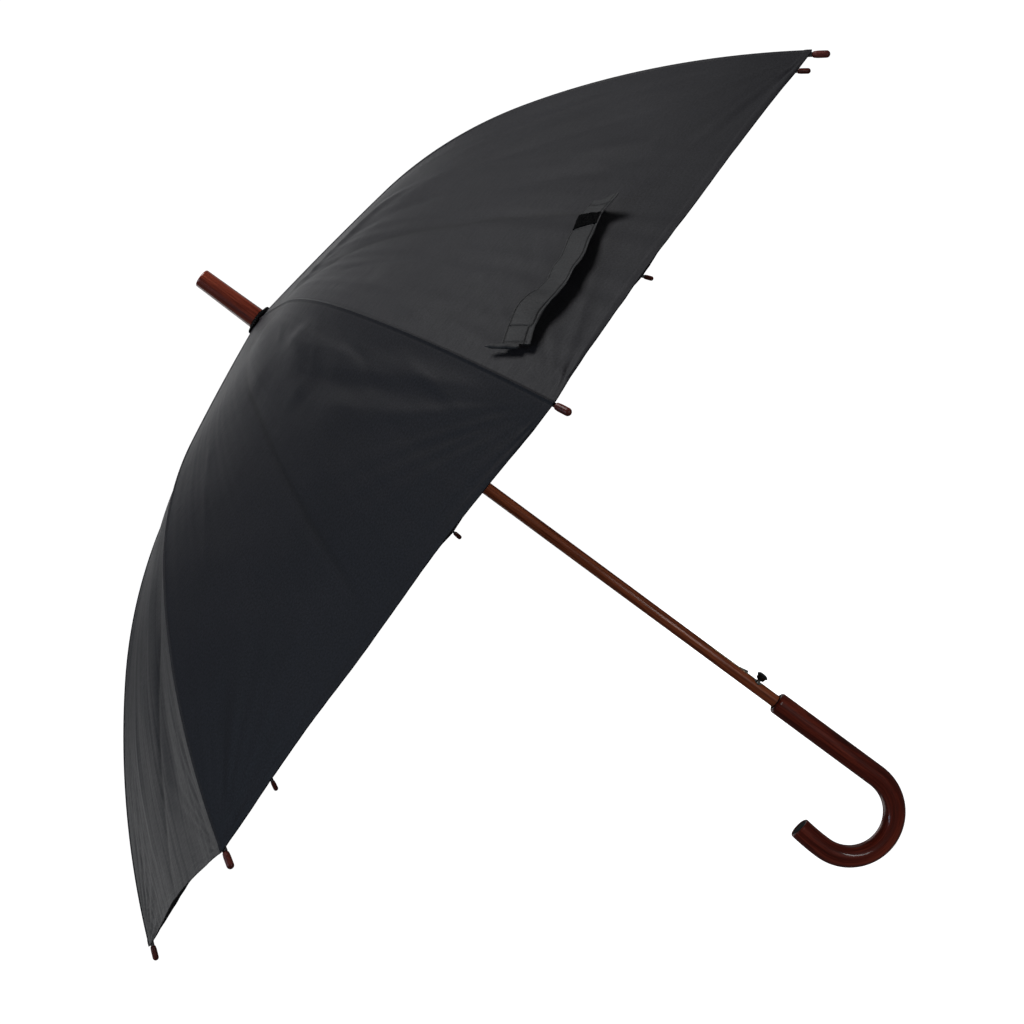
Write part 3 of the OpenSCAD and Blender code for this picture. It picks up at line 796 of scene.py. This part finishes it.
def make_strap():
    """The doubled strap with its edge stitching, its sewn box, its folded lower end and its pad."""
    length = strap_frame(STRAP_STEPS)[3][-1]
    rows, columns = 240, 81
    points, out, at, share = strap_grid(0, length, rows, STRAP_HALF, 0.0, columns)
    across = np.linspace(-1, 1, columns)[None, :]
    edge = (1 - np.abs(across)) * STRAP_HALF
    hem_side = (1 - across) * STRAP_HALF
    along = at[:, None] + 0 * across
    line = lambda away: np.exp(-((away / (0.55 * MM)) ** 2))
    hem_line = 2.3 * MM + 1.8 * MM * (1 - smooth(along, 16 * MM, 17.5 * MM))
    hem_line = hem_line + 0.25 * MM * np.sin(along / (4 * MM))
    sides = np.maximum(line(hem_side - hem_line), line(2 * STRAP_HALF - hem_side - 1.5 * MM))
    over = (hem_side > 2.2 * MM) * (hem_side < 2 * STRAP_HALF - 0.9 * MM)
    ends = np.maximum(line(along - 1.7 * MM), line(along - 16.2 * MM))
    ends = np.maximum(ends, line(along - (length - 29.4 * MM)))
    ends = np.maximum(ends, 0.8 * line(along - (length - 5.0 * MM))) * over
    sewn = np.maximum(sides, ends)
    rounded = STRAP_T * (0.35 + 0.65 * smooth(edge, 0, 1.1 * MM)) / 2
    lip = 0.5 * MM * np.exp(-((hem_side / (1.3 * MM)) ** 2)) * (1 + 0.5 * np.sin(along / (5 * MM)))
    top = points + out * (rounded + lip - 0.4 * MM * sewn)[..., None]
    bottom = points + out * (lip - rounded)[..., None]
    strap = shell("strap", top, bottom, STRAP_CLOTH)
    u = across * STRAP_HALF + 0 * along
    add_uv(strap, np.stack([twice(u), twice(along)], axis=1))
    add_value(strap, "sewn", twice(sewn))
    run = np.where(ends > 0.5, u + 1, along) / (2.2 * MM)
    add_value(strap, "sewn_along", twice(run))
    follow_fold(strap)
    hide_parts("tie_strap")
    pad = make_hook_pad(length)
    tab = make_strap_end()


def make_hook_pad(length):
    """The pad of hooks near the strap's free end, a low block of bristles."""
    rows, columns = 70, 61
    low, high = length - 28 * MM, length - 13.5 * MM
    half = STRAP_HALF - 0.5 * MM
    points, out, _, share = strap_grid(low, high, rows, half, STRAP_T / 2, columns)
    rng = np.random.default_rng(9)
    bristle = rng.uniform(0.3, 1.0, (rows, columns)) * 0.9 * MM
    j, k = np.arange(rows)[:, None], np.arange(columns)[None, :]
    inside = np.minimum(np.minimum(j, rows - 1 - j), np.minimum(k, columns - 1 - k))
    bristle = np.where(inside < 1, 0.05 * MM, bristle)
    by_edge = (np.linspace(0, 1, rows) ** 12)[:, None, None]
    jag = (rng.uniform(-1, 1, columns) * 0.7 * MM)[None, :, None] * by_edge
    ahead = points[-1] - points[-2]
    points = points + jag * (ahead / np.linalg.norm(ahead, axis=1, keepdims=True))[None]
    top, bottom = points + out * bristle[..., None], points - out * 0.3 * MM
    pad = shell("strap_hook_pad", top, bottom, HOOK_PILE)
    follow_fold(pad)
    return pad


def make_strap_end():
    """The strap's lower end, folded back on itself into a flat roll that sticks out to one side."""
    rows, columns = 25, 41
    points, out, _, share = strap_grid(0, 1 * MM, 2, STRAP_HALF, 0.0, 3)
    centre, side, up = points[0, 1], points[0, 2] - points[0, 0], out[0, 0]
    side = side / np.linalg.norm(side)
    along = points[1, 1] - points[0, 1]
    along = along / np.linalg.norm(along)
    turn = np.linspace(0, math.tau, rows)[:, None]
    reach = np.linspace(-1, 1, columns)[None, :]
    half = 12.4 * MM
    middle = -9 * MM
    taper = 1 - 0.75 * smooth(-reach, 0.5, 1.0) - 0.2 * smooth(reach, 0.85, 1.0)
    a = 2.1 * MM * np.cos(turn) * taper - 1.7 * MM
    b = 1.3 * MM * np.sin(turn) * taper * (1 + 0.15 * np.sin(reach * 7))
    place = centre + (reach * half + middle)[..., None] * side
    ring = place + a[..., None] * along + (b - 0.2 * MM)[..., None] * up
    right_cap = list(range(columns - 1, rows * columns, columns))
    left_cap = list(range(0, rows * columns, columns))[::-1]
    faces = [list(f) for f in grid_faces(rows, columns)] + [right_cap, left_cap]
    end = new_object("strap_folded_end", ring.reshape(-1, 3), faces, STRAP_CLOTH)
    uv = np.stack([np.repeat(reach, rows, 0) * half, np.repeat(turn, columns, 1) * 2 * MM], axis=-1)
    add_uv(end, uv.reshape(-1, 2))
    follow_fold(end)
    return end


# ---------------------------------------------------------------- handle

# The crook's free end is an arc that leans in towards the shaft
END_R = 215 * MM
END_TURN = math.radians(8)
TOP_EDGE = 3 * MM
END_EDGE = 1.5 * MM
BORE_GAP = 0.05 * MM
HANDLE_SIDES = 96
PLUG_SIDES = 48
# Rings of the end plug: share of its radius, and set-back from the handle's end in mm
PLUG_RINGS = ((0.3, 6), (1, 6), (1, 1.0), (0.9, 0.7), (0.6, 0.45), (0.3, 0.35), (0.02, 0.3))


def make_end_plug(tip, ahead, radius):
    """The black plug in the handle's free end, a low dome set into the bore."""
    side = np.array([ahead[2], 0, -ahead[0]])
    turn = np.linspace(0, math.tau, PLUG_SIDES, endpoint=False)[:, None]
    around = np.cos(turn) * side + np.sin(turn) * np.array([0, 1.0, 0])
    rings = [tip - ahead * back * MM + around * radius * r for r, back in PLUG_RINGS]
    points = np.concatenate(rings)
    faces = [list(f) for f in grid_faces(len(rings), PLUG_SIDES, closed=True)]
    faces += [list(range(PLUG_SIDES)), list(range(len(points) - PLUG_SIDES, len(points)))]
    made = new_object("handle_plug", points, faces, BLACK_PLASTIC, 40)
    fix_normals(made)
    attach(made, "root")
    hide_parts("handle_end_plug")


def rounded_rim(radius, edge, bore, depth, floor):
    """(set-back from the end, radius) down a bore, over the rim and onto the outside."""
    turns = np.linspace(0, math.pi / 2, 7)
    arc = [(edge * (1 - math.sin(t)), radius - edge + edge * math.cos(t)) for t in turns]
    inside = [(depth, floor), (depth, bore), (0.6 * MM, bore), (0, bore + 0.5 * MM)]
    return inside + arc[::-1]


def crook_line(start, finish):
    """Centres, directions and radii along the crook between its two rims, and its free end."""
    low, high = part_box("handle")
    radius, top = high.x, high.z
    hook_r = (high.x - low.x) / 2 - radius
    bend_z = low.z + hook_r + radius

    def leaning(a):
        return -2 * hook_r + END_R * (1 - math.cos(a)), 0, bend_z + END_R * math.sin(a)

    straight = np.linspace(top - TOP_EDGE, bend_z, 60)[1:-1]
    bend = np.linspace(0, math.pi, 140)
    angles = np.linspace(0, END_TURN, 26)[1:-2]
    tip = np.array(leaning(END_TURN))
    ahead = np.array([math.sin(END_TURN), 0, math.cos(END_TURN)])
    centre = [(0, 0, top - back) for back, _ in start]
    centre += [(0, 0, z) for z in straight]
    centre += [(-hook_r + hook_r * math.cos(t), 0, bend_z - hook_r * math.sin(t)) for t in bend]
    centre += [leaning(a) for a in angles]
    centre += [tuple(tip - ahead * back) for back, _ in finish[::-1]]
    way = [np.array([0, 0, -1.0])] * (len(start) + len(straight))
    way += [np.array([-math.sin(t), 0, -math.cos(t)]) for t in bend]
    way += [np.array([math.sin(a), 0, math.cos(a)]) for a in angles] + [ahead] * len(finish)
    plain = [radius] * (len(straight) + len(bend) + len(angles))
    radii = [r for _, r in start] + plain + [r for _, r in finish[::-1]]
    return np.array(centre), np.array(way), np.array(radii), tip, ahead


def make_handle():
    """The crook, with the grain running round its bend, its rounded rims and its bored ends."""
    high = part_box("handle")[1]
    radius = high.x
    plug_low, plug_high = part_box("handle_end_plug")
    plug_r = (plug_high.x - plug_low.x) / 2
    plug_depth = plug_high.z + 0.1 * MM - plug_low.z
    collar_low, collar_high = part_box("handle_collar")
    collar_bore, collar_depth = collar_high.x + BORE_GAP, high.z - collar_low.z
    start = rounded_rim(radius, TOP_EDGE, collar_bore, collar_depth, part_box("shaft")[1].x)
    finish = rounded_rim(radius, END_EDGE, plug_r + BORE_GAP, plug_depth, plug_r * 0.5)
    centre, way, radii, tip, ahead = crook_line(start, finish)
    turn = np.linspace(0, math.tau, HANDLE_SIDES, endpoint=False)
    across = np.stack([way[:, 2], 0 * way[:, 0], -way[:, 0]], axis=1)
    around = np.cos(turn)[None, :, None] * across[:, None]
    around = around + np.sin(turn)[None, :, None] * np.array([0, 1.0, 0])
    points = centre[:, None] + around * radii[:, None, None]
    faces = grid_faces(len(centre), HANDLE_SIDES, closed=True)
    made = new_object("crook_handle", points.reshape(-1, 3), faces, HANDLE_WOOD, 40)
    fix_normals(made)
    make_end_plug(tip, ahead, plug_r)
    run = np.cumsum(np.concatenate([[0], np.linalg.norm(np.diff(centre, axis=0), axis=1)]))
    wrap = np.stack([np.cos(turn), np.sin(turn)], axis=1) * radius
    round_it = np.tile(wrap[:, 0], len(centre)) + 0.7 * np.tile(wrap[:, 1], len(centre))
    add_uv(made, np.stack([round_it, np.repeat(run, HANDLE_SIDES)], axis=1))
    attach(made, "root")
    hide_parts("handle")


# ---------------------------------------------------------------- crown cap


PLEATS = 34


def make_crown_cap():
    """The crimped cap between the cloth and the ferrule: a ring of pleats with a toothed edge."""
    low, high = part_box("crown_cap")
    outer = high.x
    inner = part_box("shaft")[1].x + BORE_GAP
    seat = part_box("ferrule")[1].x
    z0, z1 = low.z, high.z

    def ruffle(r, z, t):
        share = smooth(r, seat * 0.9, outer)
        z = z + share * 0.9 * MM * np.cos(PLEATS * t)
        r = r * (1 + 0.04 * share * np.cos(PLEATS * t + 0.9))
        return r, z

    profile = [
        (inner, z0 + 0.2 * MM),
        (seat, z0 + 0.3 * MM),
        (outer - 1.2 * MM, z0 + 0.1 * MM),
        (outer - 0.6 * MM, z0 + 0.4 * MM),
        (outer - 0.6 * MM, z0 + 1.3 * MM),
        (outer - 1.4 * MM, z0 + 1.9 * MM),
        (outer - 2.6 * MM, z0 + 2.3 * MM),
        (seat + 0.9 * MM, z1 - 0.8 * MM),
        (seat + 0.3 * MM, z1 - 0.1 * MM),
        (seat - 0.6 * MM, z1),
        (inner, z1),
    ]
    made = lathe("crimped_crown_cap", profile, BLACK_METAL, PLEATS * 12, ruffle)
    fix_normals(made)
    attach(made, "root")
    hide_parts("crown_cap")


# ---------------------------------------------------------------- stage


FLOOR_HALF = 18.0
DOME_R = 30.0
WORLD_GLOW = 0.06


def white_paint(name):
    """Matt white paint that glows, so the stage stays white however the light falls."""
    material, tree, shader = new_material(
        name, Roughness=0.9, Specular_IOR_Level=0.0, Emission_Strength=1.0
    )
    shader.inputs["Emission Color"].default_value = (1, 1, 1, 1)
    grain = noise(tree, object_place(tree), 3.0)
    base = ramp(tree, grain, [(0.3, (0.88, 0.88, 0.88)), (0.7, (0.92, 0.92, 0.92))])
    wire_up(tree, shader, Base_Color=base)
    return material


def make_floor():
    """A white floor just below the umbrella. It doesn't light the umbrella."""
    size, z = FLOOR_HALF, CAD_BOX[0].z - 1 * MM
    points = [(-size, -size, z), (size, -size, z), (size, size, z), (-size, size, z)]
    floor = new_object("studio_floor", points, [(0, 1, 2, 3)], white_paint("floor_paint"))
    floor.visible_diffuse = floor.visible_glossy = False


def make_backdrop():
    """A white sphere round the floor. It doesn't light the umbrella, and it throws no shadow."""
    rows, cols = 25, 48
    bend = np.radians(np.linspace(-90, 90, rows))[:, None]
    turn = np.linspace(0, math.tau, cols, endpoint=False)[None, :]
    points = DOME_R * np.stack(
        [np.cos(bend) * np.cos(turn), np.cos(bend) * np.sin(turn), np.sin(bend) + 0 * turn], axis=-1
    )
    faces = [list(f) for f in grid_faces(rows, cols, closed=True)]
    paint = white_paint("backdrop_paint")
    dome = new_object("studio_backdrop", points.reshape(-1, 3), faces, paint)
    dome.visible_diffuse = dome.visible_glossy = dome.visible_shadow = False


def add_area(name, place, aim, size, power, colour=(1, 1, 1)):
    """A rectangular lamp that points at aim and can't be seen itself."""
    light = bpy.data.lights.new(name, "AREA")
    light.shape = "RECTANGLE"
    light.size, light.size_y = size
    light.energy = power
    light.color = colour
    made = bpy.data.objects.new(name, light)
    made.location = place
    made.rotation_mode = "QUATERNION"
    made.rotation_quaternion = (Vector(aim) - Vector(place)).to_track_quat("-Z", "Y")
    made.visible_camera = False
    bpy.context.scene.collection.objects.link(made)


def make_lights():
    """A dim room, and soft lamps in front, above, behind and low at the front."""
    world = bpy.data.worlds.new("studio")
    world.use_nodes = True
    background = world.node_tree.nodes["Background"]
    background.inputs["Color"].default_value = (1, 1, 1, 1)
    background.inputs["Strength"].default_value = WORLD_GLOW
    bpy.context.scene.world = world
    middle = (0, 0, RIM_Z)
    add_area("key", (0.85, -0.45, 2.15), middle, (0.8, 0.8), 26.5)
    add_area("fill", (-1.2, -1.2, 1.8), middle, (0.9, 0.9), 12.5, (0.60, 0.78, 1.0))
    add_area("low", (0.5, -1.3, -0.02), (0, 0, 0.1), (0.7, 0.15), 3.2)
    add_area("rim_left", (-2.2, 1.8, 1.0), middle, (1.6, 1.6), 10.5)
    add_area("rim_right", (1.8, 1.8, 1.2), middle, (1.6, 1.6), 2.5)
    add_area("rear", (0.0, 1.8, 1.6), middle, (1.6, 1.6), 12)


# The camera stands in front of the shaft, level with the canopy's corners, and is rolled.
VIEW_DISTANCE = 3.0557 * RIM_R
VIEW_SIDE = -3.8 * MM
VIEW_RISE = 5.9 * MM
VIEW_ROLL = math.radians(53.58)
VIEW_PITCH = math.radians(-1.375)
VIEW_LENS = 58.99


def make_camera():
    """Aims along +Y and a little down, rolled about the line of sight."""
    data = bpy.data.cameras.new("camera")
    data.lens = VIEW_LENS
    data.sensor_width = 36
    data.clip_start, data.clip_end = 0.01, 200
    camera = bpy.data.objects.new("camera", data)
    bpy.context.scene.collection.objects.link(camera)
    forward = Vector((0, math.cos(VIEW_PITCH), math.sin(VIEW_PITCH)))
    level_up = Vector((0, -math.sin(VIEW_PITCH), math.cos(VIEW_PITCH)))
    level_right = Vector((1, 0, 0))
    right = level_right * math.cos(VIEW_ROLL) - level_up * math.sin(VIEW_ROLL)
    up = level_right * math.sin(VIEW_ROLL) + level_up * math.cos(VIEW_ROLL)
    turn = Matrix((right, up, -forward)).transposed()
    stand = Matrix.Translation((VIEW_SIDE, -VIEW_DISTANCE, RIM_Z + VIEW_RISE))
    camera.matrix_world = stand @ turn.to_4x4()
    bpy.context.scene.camera = camera


# ---------------------------------------------------------------- all of it

finish_cad_nodes()
for panel in range(1, RIBS + 1):
    make_panel(panel)
make_strap()
make_handle()
make_crown_cap()
make_floor()
make_backdrop()
make_lights()
make_camera()
bpy.context.scene.view_settings.view_transform = "Standard"
